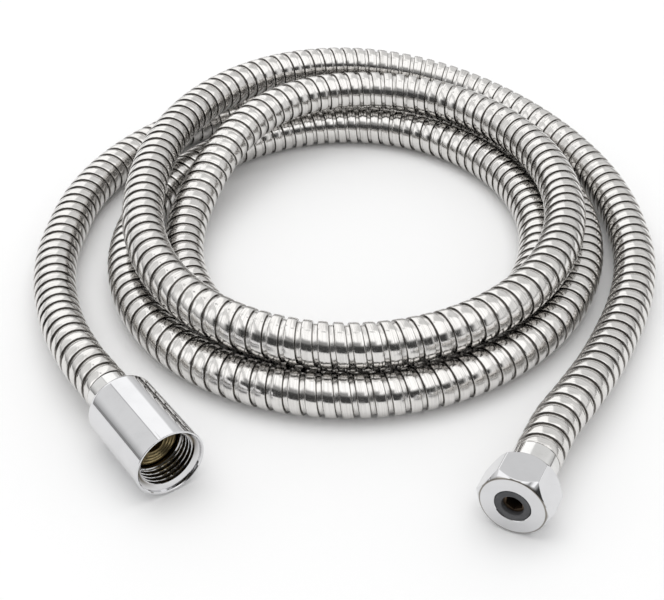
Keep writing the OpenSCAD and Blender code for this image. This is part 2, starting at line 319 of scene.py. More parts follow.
class NodeGraph:
    """A node tree, with short calls for the nodes that the finishes and the room use."""

    def __init__(self, tree: bpy.types.NodeTree) -> None:
        """Keeps the tree's nodes and links."""
        self.nodes, self.links = tree.nodes, tree.links

    def node(self, kind: str, inputs: Optional[dict] = None, **settings: object) -> bpy.types.Node:
        """Adds a node.

        Args:
            kind: Blender's name for the node's type.
            inputs: Value or output socket for each input, by name or number.
            settings: Attributes to set on the node.

        Returns:
            The new node.
        """
        added = self.nodes.new(kind)
        for key, value in settings.items():
            setattr(added, key, value)
        for key, value in (inputs or {}).items():
            if isinstance(value, Socket):
                self.links.new(value, added.inputs[key])
            else:
                added.inputs[key].default_value = value
        return added

    def number(self, operation: str, first: Socket | float, second: Socket | float) -> Socket:
        """Two numbers put through one of Blender's Math operations."""
        return self.node("ShaderNodeMath", {0: first, 1: second}, operation=operation).outputs[0]

    def blended(self, factor: Socket, first: Socket | float, second: Socket | float) -> Socket:
        """The first number where the factor is 0, and the second where it is 1."""
        return self.node("ShaderNodeMix", {0: factor, 2: first, 3: second}, data_type="FLOAT").outputs[0]

    def ranged(self, value: Socket, source: Span, low: float = 0.0, high: float = 1.0) -> Socket:
        """A value moved smoothly from one range to another, and held at its ends.

        Args:
            value: Socket that gives the value.
            source: Its range.
            low: Result at the start of the range.
            high: Result at its end.

        Returns:
            The socket that gives the result.
        """
        inputs = {"Value": value, "To Min": low, "To Max": high}
        inputs |= {"From Min": source[0], "From Max": source[1]}
        return self.node("ShaderNodeMapRange", inputs, interpolation_type="SMOOTHSTEP").outputs["Result"]


class Shader(NodeGraph):
    """A material's node tree round its Principled shader."""

    def __init__(self, name: str) -> None:
        """Starts a material that has only a Principled shader.

        Args:
            name: Name of the material.
        """
        self.material = bpy.data.materials.new(name)
        self.material.use_nodes = True
        super().__init__(self.material.node_tree)
        self.principled = self.nodes["Principled BSDF"]

    def attribute(self, name: str, output: str = "Fac") -> Socket:
        """A value that the mesh holds at each vertex."""
        return self.node("ShaderNodeAttribute", attribute_name=name).outputs[output]

    def place(self, attribute: Optional[str] = None, stretch: Stretch = (1.0, 1.0, 1.0)) -> Socket:
        """A point's place on the piece, stretched before a pattern is laid on it.

        Args:
            attribute: Mesh attribute that holds the place, or None for the object's own axes.
            stretch: Factor for each axis.

        Returns:
            The socket that gives the place.
        """
        if attribute:
            source = self.attribute(attribute, "Vector")
        else:
            source = self.node("ShaderNodeTexCoord").outputs["Object"]
        return self.node("ShaderNodeMapping", {"Vector": source, "Scale": stretch}).outputs["Vector"]

    def noise(self, place: Socket, scale: float = 1.0, detail: float = 3.0) -> Socket:
        """Noise from 0 to 1 at a place.

        Args:
            place: Socket that gives the place.
            scale: Patches to the metre.
            detail: Octaves.

        Returns:
            The socket that gives the noise.
        """
        inputs = {"Vector": place, "Scale": scale, "Detail": detail, "Roughness": NOISE_ROUGHNESS}
        return self.node("ShaderNodeTexNoise", inputs).outputs["Fac"]

    def mixed(self, factor: Socket, first: Socket | Colour, second: Colour) -> Socket:
        """A colour between two others.

        Args:
            factor: Socket that gives 0 for the first and 1 for the second.
            first: Colour at 0, or the socket that gives it.
            second: Colour at 1.

        Returns:
            The socket that gives the colour.
        """
        start = first if isinstance(first, Socket) else (*first, 1)
        inputs = {0: factor, 6: start, 7: (*second, 1)}
        return self.node("ShaderNodeMix", inputs, data_type="RGBA").outputs[2]

    def surface(
        self,
        colour: Socket,
        roughness: Socket,
        relief: Socket,
        relief_depth: float,
        metallic: float,
    ) -> Material:
        """Joins the finish's sockets to the shader.

        Args:
            colour: Socket that gives the colour.
            roughness: Socket that gives the roughness.
            relief: Socket that gives the height, from 0 to 1.
            relief_depth: Height that 1 stands for.
            metallic: METAL or NOT_METAL.

        Returns:
            The finished material.
        """
        self.links.new(colour, self.principled.inputs["Base Color"])
        self.links.new(roughness, self.principled.inputs["Roughness"])
        self.principled.inputs["Metallic"].default_value = metallic
        bump = self.node("ShaderNodeBump", {"Height": relief, "Distance": relief_depth, "Strength": 1.0})
        self.links.new(bump.outputs["Normal"], self.principled.inputs["Normal"])
        return self.material


@dataclass(frozen=True)
class StripSteel:
    """Bright rolled stainless strip with rolling streaks, and painted shade on the walls of its ribs.

    Attributes:
        crest: Colour of the raised strip.
        worn: Colour of its duller streaks.
        wall: Colour of the painted shade half way down the walls of the ribs, where shadow falls.
        wall_shade_cover: How much of the wall's own colour the painted shade hides at most.
        polish: Roughness of the brightest parts.
        dulling: Roughness that the dullest streaks add.
        seam_dulling: Roughness that the seam adds.
        streak_depth: Depth of the rolling streaks.
        streaks: Streaks to the metre across the strip, along it and through it.
        smears: The same for the softer marks of handling.
        streak_noise: Noise at which a streak starts and is full.
        smear_noise: The same for a smear.
        least_streak: Dullness between the streaks, from 0 to 1.
        least_smear: The same between the smears.
        wall_shade_span: Depth in the seam times what is left of it, where the painted wall shade starts and
            is full.
        dull_span: Dullness at which the roughness starts to rise and is full.
    """

    crest: Colour = (0.78, 0.765, 0.745)
    worn: Colour = (0.62, 0.605, 0.585)
    # Painted shade: a dark colour on the rib walls that stands in for their shadow and dark reflections.
    wall: Colour = (0.13, 0.12, 0.11)
    wall_shade_cover: float = 0.9
    polish: float = 0.12
    dulling: float = 0.13
    seam_dulling: float = 0.08
    streak_depth: float = 0.000005
    streaks: Stretch = (3000.0, 70.0, 70.0)
    smears: Stretch = (240.0, 130.0, 130.0)
    streak_noise: Span = (0.38, 0.68)
    smear_noise: Span = (0.3, 0.7)
    least_streak: float = 0.15
    least_smear: float = 0.35
    wall_shade_span: Span = (0.09, 0.22)
    dull_span: Span = (0.1, 0.9)

    def material(self) -> Material:
        """Makes the material.

        Returns:
            The material, for a mesh that holds "strip_place" and "seam_depth".
        """
        shader = Shader("strip_steel")
        depth = shader.attribute("seam_depth")
        half_way = shader.number("MULTIPLY", depth, shader.number("SUBTRACT", 1.0, depth))
        # Painted shade mask, strongest half way down the rib walls.
        painted_wall_shade = shader.ranged(half_way, self.wall_shade_span, 0.0, self.wall_shade_cover)
        streaks = shader.noise(shader.place("strip_place", self.streaks))
        smears = shader.noise(shader.place("strip_place", self.smears), detail=2.0)
        streaked = shader.ranged(streaks, self.streak_noise, self.least_streak, 1.0)
        smeared = shader.ranged(smears, self.smear_noise, self.least_smear, 1.0)
        dulled = shader.number("MULTIPLY", streaked, smeared)
        colour = shader.mixed(dulled, self.crest, self.worn)
        # Painted shade on the rib walls.
        colour = shader.mixed(painted_wall_shade, colour, self.wall)
        roughness = shader.ranged(dulled, self.dull_span, self.polish, self.polish + self.dulling)
        roughness = shader.number("ADD", roughness, shader.number("MULTIPLY", depth, self.seam_dulling))
        return shader.surface(colour, roughness, streaks, self.streak_depth, METAL)


@dataclass(frozen=True)
class PolishedMetal:
    """A plated or polished metal with faint lathe lines and a few cloudy patches.

    Attributes:
        name: Name of the material.
        bright: Colour of most of the surface.
        clouded: Colour of the patches.
        polish: Roughness of most of the surface.
        line_depth: Depth of the lathe lines.
        lines: Lathe lines to the metre, along the piece's own axis.
        line_breaks: Breaks in a lathe line to the metre.
        clouds: Patches to the metre.
        cloud_dulling: How many times rougher the patches are.
        bare_and_shade_colour: Colour of the bare brass down in a thread or a bore, darkened further as
            painted shade of those hollows and of the hexagon nut's face line.
        bare_dulling: Roughness that the bare brass adds.
        tint_noise: Noise at which a patch's colour starts and is full.
        dull_noise: The same for its roughness.
    """

    name: str
    bright: Colour
    clouded: Colour
    polish: float
    line_depth: float
    lines: float
    line_breaks: float = 40.0
    clouds: float = 90.0
    cloud_dulling: float = 2.2
    # Bare brass, darkened further as painted shade of the thread's roots and the bore.
    bare_and_shade_colour: Colour = (0.10, 0.078, 0.045)
    bare_dulling: float = 0.18
    tint_noise: Span = (0.4, 0.75)
    dull_noise: Span = (0.35, 0.8)

    def material(self) -> Material:
        """Makes the material.

        Returns:
            The material, for a mesh that holds "turned_place" and, where it is bare or carries painted shade,
            "unplated_and_shade".
        """
        shader = Shader(self.name)
        stretch = (self.lines, self.line_breaks, self.lines)
        lines = shader.noise(shader.place("turned_place", stretch), detail=2.0)
        clouds = shader.noise(shader.place(), self.clouds)
        unplated_and_shade = shader.attribute("unplated_and_shade")
        colour = shader.mixed(shader.ranged(clouds, self.tint_noise), self.bright, self.clouded)
        # Bare brass and painted shade in the thread's roots, the bore and the hexagon nut's face line.
        colour = shader.mixed(unplated_and_shade, colour, self.bare_and_shade_colour)
        roughness = shader.ranged(clouds, self.dull_noise, self.polish, self.polish * self.cloud_dulling)
        roughness = shader.number("ADD", roughness, shader.number("MULTIPLY", unplated_and_shade, self.bare_dulling))
        return shader.surface(colour, roughness, lines, self.line_depth, METAL)


@dataclass(frozen=True)
class SoftSolid:
    """A rubber or plastic with a fine moulded grain.

    Attributes:
        name: Name of the material.
        colour: Colour of most of the surface.
        worn: Colour of its paler patches.
        roughness: Roughness of most of the surface.
        grain_depth: Depth of the grain.
        grains: Grains to the metre.
        patches: Patches to the metre.
        dulling: Roughness that the patches add.
        tint_noise: Noise at which a patch's colour starts and is full.
        dull_noise: The same for its roughness.
    """

    name: str
    colour: Colour
    worn: Colour
    roughness: float
    grain_depth: float
    grains: float = 2600.0
    patches: float = 300.0
    dulling: float = 0.12
    tint_noise: Span = (0.35, 0.7)
    dull_noise: Span = (0.3, 0.8)

    def material(self) -> Material:
        """Makes the material.

        Returns:
            The material, for any mesh.
        """
        shader = Shader(self.name)
        grain = shader.noise(shader.place(), self.grains, 2.0)
        patches = shader.noise(shader.place(), self.patches)
        colour = shader.mixed(shader.ranged(patches, self.tint_noise), self.colour, self.worn)
        roughness = shader.ranged(patches, self.dull_noise, self.roughness, self.roughness + self.dulling)
        return shader.surface(colour, roughness, grain, self.grain_depth, NOT_METAL)


Finish = StripSteel | PolishedMetal | SoftSolid

CHROME = PolishedMetal(
    "nut_chrome", (0.71, 0.71, 0.72), (0.67, 0.67, 0.68), polish=0.04, line_depth=0.0000008, lines=2200.0
)
FERRULE_STEEL = PolishedMetal(
    "ferrule_steel", (0.78, 0.775, 0.765), (0.70, 0.695, 0.68), polish=0.08, line_depth=0.000002, lines=2600.0
)
TURNED_BRASS = PolishedMetal(
    "turned_brass", (0.40, 0.32, 0.17), (0.25, 0.19, 0.10), polish=0.24, line_depth=0.000006, lines=3000.0
)
DULL_BRASS = PolishedMetal(
    "dull_brass", (0.17, 0.12, 0.08), (0.07, 0.05, 0.035), polish=0.40, line_depth=0.000006, lines=3000.0
)
WASHER_RUBBER = SoftSolid(
    "washer_rubber", (0.045, 0.046, 0.05), (0.075, 0.076, 0.08), roughness=0.5, grain_depth=0.00001
)
LINER_RUBBER = SoftSolid(
    "liner_rubber", (0.03, 0.03, 0.032), (0.05, 0.05, 0.052), roughness=0.55, grain_depth=0.00001
)
ACETAL = SoftSolid(
    "slip_ring_acetal", (0.82, 0.82, 0.79), (0.76, 0.76, 0.72), roughness=0.38, grain_depth=0.000004
)


def dress(obj: Object, finish: Finish) -> Object:
    """Gives a piece its only material.

    Args:
        obj: The piece.
        finish: Its finish.

    Returns:
        The same piece.
    """
    obj.data.materials.clear()
    obj.data.materials.append(finish.material())
    return obj


# ---------------------------------------------------------------------------
# The lay of the hose
# ---------------------------------------------------------------------------


COIL_QUARTERS = 14


@dataclass(frozen=True)
class LeadLay:
    """How one end of the hose leaves the coil, and where its fitting lies.

    Attributes:
        quarter: Place on the coil where the lead starts, in quarter turns.
        outward: 1 if places on the coil rise towards the lead, and -1 if they fall.
        heading: Direction that the end points in, in degrees from +X.
        axis_height: Height of the fitting's axis.
        steps: The lead's knots, from where it starts.
        end_step: The end of the sheath, from the same place, seen from above.
    """

    quarter: float
    outward: float
    heading: float
    axis_height: float
    steps: tuple[tuple[float, float, float], ...]
    end_step: tuple[float, float]


HANDSET_LEAD = LeadLay(
    quarter=0.0,
    outward=-1.0,
    heading=-55.0,
    axis_height=0.0124,
    steps=((-0.001, -0.020, 0), (0.001, -0.038, 0), (0.005, -0.054, 0.001), (0.011, -0.071, 0.0035)),
    end_step=(0.031, -0.105),
)
WALL_LEAD = LeadLay(
    quarter=float(COIL_QUARTERS),
    outward=1.0,
    heading=-116.0,
    axis_height=0.0113,
    steps=(
        (-0.0005, -0.020, 0), (-0.004, -0.038, 0), (-0.010, -0.056, 0),
        (-0.018, -0.074, 0.001), (-0.026, -0.090, 0.003), (-0.0355, -0.106, 0.005),
    ),
    end_step=(-0.0535, -0.1371),
)


@dataclass(frozen=True)
class HoseLay:
    """The hose's centre line: a coil in two layers, and a lead to each end.

    Places on the coil are in quarter turns from its left side, clockwise from above.

    Attributes:
        diameter: Outer diameter of the hose.
        turn_gap: Clear gap between neighbouring turns.
        layer_slope: Angle at which a turn leans on the two below it, in degrees.
        loop_width: Width of the innermost turn.
        loop_depth: Depth of the innermost turn.
        centre: Middle of the coil.
        flat_rest: Height of the centre line of the CAD hose, which is cut flat where it rests.
        lanes: Quarter turns against the lane, counted outwards in pitches.
        layers: Quarter turns against the layer, counted upwards.
        ease_reach: Half width of the stretch that a change of lane is eased over.
        ease_steps: Steps in that half width.
        knot_step: Quarter turns from the last knot on the coil to its end.
        straight_run: Length of the straight run into each ferrule.
        handset: The lead to the handset end.
        wall: The lead to the wall end.
    """

    diameter: float = 0.016
    turn_gap: float = 0.0009
    layer_slope: float = 60.0
    loop_width: float = 0.154
    loop_depth: float = 0.170
    centre: tuple[float, float] = (-0.00033, 0.02163)
    flat_rest: float = 0.0064
    lanes: tuple[tuple[float, float], ...] = (
        (-1, 2.1), (0, 2.1), (1, 1), (3.5, 1), (4.5, -0.25), (5.5, 0), (7.2, 0),
        (8.3, -1.2), (9.35, 0.5), (11.4, 0.5), (12.1, -0.1), (13.1, 1.72),
        (13.6, 2.1), (15, 2.1),
    )
    layers: tuple[tuple[float, float], ...] = (
        (-1, 0), (7.4, 0), (8, 0.15), (8.6, 1.3), (9.4, 1), (11.2, 1), (11.9, 1.15),
        (12.7, 1.32), (13.1, 1.12), (13.65, 0), (15, 0),
    )
    ease_reach: float = 0.45
    ease_steps: int = 8
    knot_step: float = 0.12
    straight_run: float = 0.018
    handset: LeadLay = HANDSET_LEAD
    wall: LeadLay = WALL_LEAD

    @property
    def round_lift(self) -> float:
        """How far the round hose's centre line stands above the flattened one's."""
        return self.diameter / 2 - self.flat_rest

    def eased(self, q: np.ndarray, table: Sequence[tuple[float, float]]) -> np.ndarray:
        """A table's values with their changes eased.

        Args:
            q: Places in quarter turns.
            table: Pairs of place and value.

        Returns:
            The eased values.
        """
        places, values = np.array(table, float).T
        n = self.ease_steps
        total = np.zeros_like(q)
        for k in range(-n, n + 1):
            weight = (n + 1 - abs(k)) / (n + 1) ** 2
            total += weight * np.interp(q + k / n * self.ease_reach, places, values)
        return total

    def coil_points(self, q: np.ndarray) -> np.ndarray:
        """Points of the flattened hose's centre line on the coil.

        Args:
            q: Places in quarter turns.

        Returns:
            One row for each place.
        """
        pitch = self.diameter + self.turn_gap
        lane = self.eased(q, self.lanes) * pitch
        azimuth = np.radians(180 - 90 * q)
        rise = np.maximum(0, self.eased(q, self.layers)) * pitch * math.sin(math.radians(self.layer_slope))
        x = self.centre[0] + (self.loop_width / 2 + lane) * np.cos(azimuth)
        y = self.centre[1] + (self.loop_depth / 2 + lane) * np.sin(azimuth)
        return np.stack([x, y, self.flat_rest + rise], -1)

    def lead_at(self, end: End) -> LeadLay:
        """The lead to an end."""
        return self.handset if end is End.HANDSET else self.wall

    def coil_end(self, end: End) -> np.ndarray:
        """The coil's last point before an end's lead."""
        return self.coil_points(np.array([self.lead_at(end).quarter]))[0]

    def direction(self, end: End) -> np.ndarray:
        """Unit vector that points out of the hose at an end."""
        heading = math.radians(self.lead_at(end).heading)
        return np.array([math.cos(heading), math.sin(heading), 0.0])

    def end_point(self, end: End) -> np.ndarray:
        """Where the sheath stops and the fitting starts."""
        lead = self.lead_at(end)
        return np.append(self.coil_end(end)[:2] + lead.end_step, lead.axis_height)

    def fitting_frame(self, end: End) -> Matrix:
        """Places a piece that is drawn along +Z from the end of the sheath."""
        turn = Euler((0, math.pi / 2, math.radians(self.lead_at(end).heading))).to_matrix().to_4x4()
        return Matrix.Translation(Vector(self.end_point(end))) @ turn

    def lead_line(self, end: End, steps: int = 24) -> np.ndarray:
        """A lead's centre line, from the coil to the end of the sheath.

        Args:
            end: Which lead.
            steps: Points between two knots.

        Returns:
            One row for each point, lifted to the round hose's height on the surface.
        """
        lead = self.lead_at(end)
        start, stop = self.coil_end(end), self.end_point(end)
        knots = [self.coil_points(np.array([lead.quarter - lead.outward * self.knot_step]))[0], start]
        knots += [start + np.array(step) for step in lead.steps]
        knots += [stop - self.straight_run * self.direction(end), stop]
        points = []
        for a, b, c, d in zip(knots, knots[1:], knots[2:], knots[3:]):
            for t in np.arange(steps) / steps:
                bend = (2 * a - 5 * b + 4 * c - d) * t * t + (3 * b - a - 3 * c + d) * t ** 3
                points.append(0.5 * (2 * b + (c - a) * t + bend))
        line = np.array(points + knots[-2:])
        climbed = (line[:, 2] - self.flat_rest) / (stop[2] - self.flat_rest)
        line[:, 2] = np.maximum(line[:, 2] + self.round_lift * (1 - climbed), self.diameter / 2)
        return line

    def centre_line(self, steps_per_quarter: int = 90) -> np.ndarray:
        """The whole centre line, from the handset end of the sheath to the wall end.

        Args:
            steps_per_quarter: Points in each quarter turn of the coil.

        Returns:
            One row for each point.
        """
        q = np.linspace(0, COIL_QUARTERS, COIL_QUARTERS * steps_per_quarter + 1)[1:-1]
        coil = self.coil_points(q)
        coil[:, 2] += self.round_lift
        return np.concatenate([self.lead_line(End.HANDSET)[::-1], coil, self.lead_line(End.WALL)])


class Route:
    """A centre line that can be asked for its place and its own axes at any run."""

    def __init__(self, points: np.ndarray, spare: float, step: float = 0.001) -> None:
        """Spaces the points evenly and goes on straight past both ends.

        Args:
            points: The centre line, one row for each point.
            spare: Straight length added at each end.
            step: Distance between the even points.
        """
        run = np.concatenate([[0], np.cumsum(np.linalg.norm(np.diff(points, axis=0), axis=1))])
        self.length = float(run[-1])
        even = np.linspace(0, self.length, round(self.length / step) + 1)
        line = np.stack([np.interp(even, run, points[:, i]) for i in range(3)], -1)
        first = (points[0] - points[1]) / np.linalg.norm(points[0] - points[1])
        last = (points[-1] - points[-2]) / np.linalg.norm(points[-1] - points[-2])
        self.runs = np.concatenate([[-spare], even, [self.length + spare]])
        self.points = np.concatenate([[points[0] + spare * first], line, [points[-1] + spare * last]])
        along = np.gradient(self.points, self.runs, axis=0)
        along[0], along[-1] = -first, last
        along /= np.linalg.norm(along, axis=1)[:, None]
        across = np.cross(along, [0, 0, 1.0])
        across /= np.linalg.norm(across, axis=1)[:, None]
        self.across = across
        self.up = np.cross(across, along)

    def sampled(self, table: np.ndarray, run: np.ndarray) -> np.ndarray:
        """A table's rows at any runs.

        Args:
            table: One row for each of the route's points.
            run: Distances from the start of the route.

        Returns:
            One row for each run, in the shape of run.
        """
        return np.stack([np.interp(run, self.runs, table[:, i]) for i in range(3)], -1)

    def around(self, run: np.ndarray, radius: np.ndarray, angle: np.ndarray) -> np.ndarray:
        """Points at a radius and an angle about the route.

        Args:
            run: Distances from the start of the route.
            radius: Distances from the centre line.
            angle: Angles, 0 across the route and a quarter turn upwards.

        Returns:
            One row for each point, in the shape of run.
        """
        across, up = self.sampled(self.across, run), self.sampled(self.up, run)
        side = np.cos(angle)[..., None] * across + np.sin(angle)[..., None] * up
        return self.sampled(self.points, run) + radius[..., None] * side


@dataclass(frozen=True)
class StripWoundSheath:
    """One strip of steel wound into a hose: a raised rib and a flat seam in every turn.

    Attributes:
        strip_pitch: Length of one turn of the strip along the hose.
        seam_width: Width of the seam, between the shoulders of its ribs.
        crest_radius: Radius over the ribs.
        seam_radius: Radius down in the seam.
        wall_lean: How far a rib's wall leans into the seam on its way down.
        bore_radius: Radius of the bore.
        crest_edge: Rounding of the rib's shoulders.
        seam_edge: Rounding at the foot of the rib's walls.
        crown: Height of the rib's middle above its shoulders.
        segments: Steps round the hose.
        edge_steps: Steps in each rounding.
        crown_steps: Steps over the rib.
        turns_before: Turns of the strip that start before the hose does, and are cut off there.
        bore_segments: Steps round the bore.
        bore_step: Distance between the bore's rings.
        crease: Angle in degrees above which an edge is sharp.
    """

    strip_pitch: float = 0.00545
    seam_width: float = 0.00190
    crest_radius: float = 0.0080
    seam_radius: float = 0.0069
    wall_lean: float = 0.00022
    bore_radius: float = 0.0052
    crest_edge: float = 0.00026
    seam_edge: float = 0.00016
    crown: float = 0.00008
    segments: int = 28
    edge_steps: int = 3
    crown_steps: int = 4
    turns_before: int = 2
    bore_segments: int = 20
    bore_step: float = 0.006
    crease: float = 60.0

    def strip_outline(self) -> Profile:
        """One turn's outline, from a rib's wall foot to the next one's.

        Returns:
            (along the hose, radius) of each point.
        """
        foot, shoulder = self.seam_edge, self.crest_edge
        seam, crest, steps = self.seam_radius, self.crest_radius, self.edge_steps
        inset = self.wall_lean + foot
        outline = arc((inset, seam + foot), foot, 180, 270, steps)
        outline += arc((self.seam_width - inset, seam + foot), foot, 270, 360, steps)
        near, far = self.seam_width + shoulder, self.strip_pitch - shoulder
        outline += arc((near, crest - self.crown - shoulder), shoulder, 180, 90, steps)
        for place in np.linspace(0, 1, self.crown_steps + 1)[1:-1]:
            outline.append((near + (far - near) * place, crest - self.crown * (2 * place - 1) ** 2))
        outline += arc((far, crest - self.crown - shoulder), shoulder, 90, 0, steps)
        return outline

    def build(self, route: Route) -> Object:
        """Makes the sheath as one closed mesh with its bore.

        Args:
            route: Centre line of the hose.

        Returns:
            The new object.
        """
        along, radius = np.array(self.strip_outline()).T
        width, n = len(along), self.segments
        turns = math.ceil(route.length / self.strip_pitch) + self.turns_before + 1
        columns = turns * n
        index = np.arange(columns)[:, None]
        start = (index / n - self.turns_before) * self.strip_pitch
        run = np.clip(start + along[None, :], 0, route.length)
        angle = np.broadcast_to(-2 * math.pi * index / n, run.shape)
        radii = np.broadcast_to(radius, run.shape)
        vertices = route.around(run, radii, angle).reshape(-1, 3)
        faces = self.strip_faces(columns, width)
        flat = run.reshape(-1)[faces]
        inside = ~((flat <= 0).all(1) | (flat >= route.length).all(1))
        sheath = mesh_object("strip_wound_sheath", vertices, faces[inside])
        across = np.broadcast_to(along, run.shape)
        places = np.stack([across, -angle * self.crest_radius, radii], -1).reshape(-1, 3)
        depth = (self.crest_radius - radii.reshape(-1)) / (self.crest_radius - self.seam_radius)
        set_values(sheath, "strip_place", places)
        set_values(sheath, "seam_depth", depth)
        self.close_with_bore(sheath, route)
        return sheath

    def strip_faces(self, columns: int, width: int) -> np.ndarray:
        """Faces of the wound strip.

        Args:
            columns: Cross-sections of the strip along its winding.
            width: Points in each of them.

        Returns:
            One row of four vertex numbers for each face.
        """
        j = np.arange(columns - 1)[:, None]
        k = np.arange(width - 1)[None, :]
        corner = j * width + k
        strip = np.stack([corner, corner + 1, corner + width + 1, corner + width], -1)
        j = np.arange(columns - 1 - self.segments)
        after = j + self.segments
        join = np.stack([(j + 1) * width - 1, after * width, (after + 1) * width, (j + 2) * width - 1], -1)
        return np.concatenate([strip.reshape(-1, 4), join])

    def close_with_bore(self, sheath: Object, route: Route) -> None:
        """Adds the bore and joins it to the strip's two open ends.

        Args:
            sheath: The wound strip.
            route: Centre line of the hose.
        """
        n = self.bore_segments
        runs = np.linspace(0, route.length, round(route.length / self.bore_step) + 1)
        angle = 2 * math.pi * np.arange(n) / n
        run, turn = np.meshgrid(runs, angle, indexing="ij")
        points = route.around(run, np.full(run.shape, self.bore_radius), turn)
        work = bmesh.new()
        work.from_mesh(sheath.data)
        bmesh.ops.delete(work, geom=[v for v in work.verts if not v.link_faces], context="VERTS")
        bmesh.ops.remove_doubles(work, verts=work.verts, dist=MERGE_DISTANCE)
        open_edges = [e for e in work.edges if e.is_boundary]
        depth = work.verts.layers.float["seam_depth"]
        rings = [[work.verts.new(p) for p in ring] for ring in points]
        for ring in rings:
            for vertex in ring:
                vertex[depth] = 1.0
        for a, b in zip(rings, rings[1:]):
            for i in range(n):
                work.faces.new((a[i], b[i], b[(i + 1) % n], a[(i + 1) % n]))
        for ring, place in ((rings[0], points[0].mean(0)), (rings[-1], points[-1].mean(0))):
            near = [e for e in open_edges if (e.verts[0].co - Vector(place)).length < 2 * self.crest_radius]
            rim = [work.edges.get((ring[i], ring[(i + 1) % n])) for i in range(n)]
            bmesh.ops.bridge_loops(work, edges=near + rim)
        bmesh.ops.recalc_face_normals(work, faces=work.faces)
        for face in work.faces:
            face.smooth = True
        work.to_mesh(sheath.data)
        work.free()
        sheath.data.set_sharp_from_angle(angle=math.radians(self.crease))


@dataclass(frozen=True)
class Liner:
    """The soft tube inside the sheath, pushed on to both tails up to their shoulders.

    Attributes:
        outer_radius: Outside radius.
        bore_radius: Radius of the water way.
        handset_reach: Length past the sheath at the handset end.
        wall_reach: Length past the sheath at the wall end.
        segments: Steps round the tube.
        ring_step: Distance between its rings.
    """

    outer_radius: float = 0.0045
    bore_radius: float = 0.0034
    handset_reach: float = 0.0205
    wall_reach: float = 0.0070
    segments: int = 20
    ring_step: float = 0.006

    def build(self, route: Route) -> Object:
        """Makes the tube.

        Args:
            route: Centre line of the hose.

        Returns:
            The new object.
        """
        start, stop = -self.handset_reach, route.length + self.wall_reach
        count = round((stop - start) / self.ring_step) + 1
        there = np.linspace(start, stop, count)
        run = np.concatenate([there, there[::-1]])
        radius = np.concatenate([np.full(count, self.outer_radius), np.full(count, self.bore_radius)])
        angle = 2 * math.pi * np.arange(self.segments) / self.segments
        runs, turns = np.meshgrid(run, angle, indexing="ij")
        points = route.around(runs, np.broadcast_to(radius[:, None], runs.shape), turns)
        faces = grid_faces(2 * count, self.segments)
        return finish_mesh(mesh_object("liner_tube", points.reshape(-1, 3), faces))


@dataclass(frozen=True)
class Hose:
    """The sheath and its liner, laid along one route.

    Attributes:
        lay: Centre line of the hose.
        sheath: The outer hose.
        liner: The inner hose.
        spare: Straight length past each end, for what reaches into the fittings.
        path_step: Distance between the points of a path along the hose.
    """

    lay: HoseLay = HoseLay()
    sheath: StripWoundSheath = StripWoundSheath()
    liner: Liner = Liner()
    spare: float = 0.03
    path_step: float = 0.004

    def build(self) -> tuple[Object, Object, Route]:
        """Makes and dresses the hose.

        Returns:
            The sheath, the liner and the route that they follow.
        """
        route = Route(self.lay.centre_line(), self.spare)
        sheath = dress(self.sheath.build(route), StripSteel())
        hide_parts("sheath_handset_lead", "sheath_coil", "sheath_wall_lead")
        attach(sheath, "hose")
        liner = dress(self.liner.build(route), LINER_RUBBER)
        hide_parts("liner")
        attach(liner, "hose")
        LOG.info("%s: %.3f m long, %d vertices", sheath.name, route.length, len(sheath.data.vertices))
        LOG.info("%s stands for liner on body hose", liner.name)
        return sheath, liner, route

    def declare(self) -> None:
        """Works out where the handset end of the sheath is, and keeps nothing.
        """
        tuple(self.lay.end_point(End.HANDSET))


# ---------------------------------------------------------------------------
# Fittings: each is drawn along +Z from the end of the sheath
# ---------------------------------------------------------------------------


@dataclass(frozen=True)
class Fitting:
    """What the pieces of one end share: where they lie and how they are placed.

    Attributes:
        end: Which end it is.
        lay: Centre line of the hose.
    """

    end: End
    lay: HoseLay

    def placed(self, obj: Object, body: str, node: str, finish: Finish, slot: str) -> Object:
        """Moves a piece to its end, dresses it and puts it in its node's place.

        Args:
            obj: Piece drawn along +Z.
            body: Body that it rides on.
            node: CAD node that it stands for.
            finish: Its finish.
            slot: Material slot in the record; not used.

        Returns:
            The same piece.
        """
        x, y, z = places_of(obj).T
        around = np.abs(np.arctan2(y, x)) * LATHE_RADIUS
        set_values(obj, "turned_place", np.stack([z, around, np.hypot(x, y)], -1))
        obj.data.transform(self.lay.fitting_frame(self.end))
        obj.data.update()
        dress(obj, finish)
        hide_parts(node)
        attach(obj, body)
        LOG.info("%s stands for %s on body %s", obj.name, node, body)
        return obj


@dataclass(frozen=True)
class Ferrule:
    """The smooth sleeve between the sheath and a tail.

    Attributes:
        length: Length of the sleeve.
        neck_radius: Radius of the hole that the tail comes out of.
        outer_radius: Radius outside.
        bore_radius: Radius inside.
        lip: Thickness of the end wall round the tail.
        hose_edge: Rounding at the sheath.
        nut_edge: Rounding at the nut.
    """

    length: float
    neck_radius: float
    outer_radius: float = 0.0079
    bore_radius: float = 0.00455
    lip: float = 0.0015
    hose_edge: float = 0.00035
    nut_edge: float = 0.0009

    def build(self, name: str) -> Object:
        """Makes the sleeve.

        Args:
            name: Name of the object.

        Returns:
            The new object, drawn along +Z.
        """
        outline = rounded(
            [
                (0.0, self.bore_radius, 0),
                (0.0, self.outer_radius, self.hose_edge),
                (self.length, self.outer_radius, self.nut_edge),
                (self.length, self.neck_radius, 0),
                (self.length - self.lip, self.neck_radius, 0),
                (self.length - self.lip, self.bore_radius, 0),
            ]
        )
        return turned(name, outline)


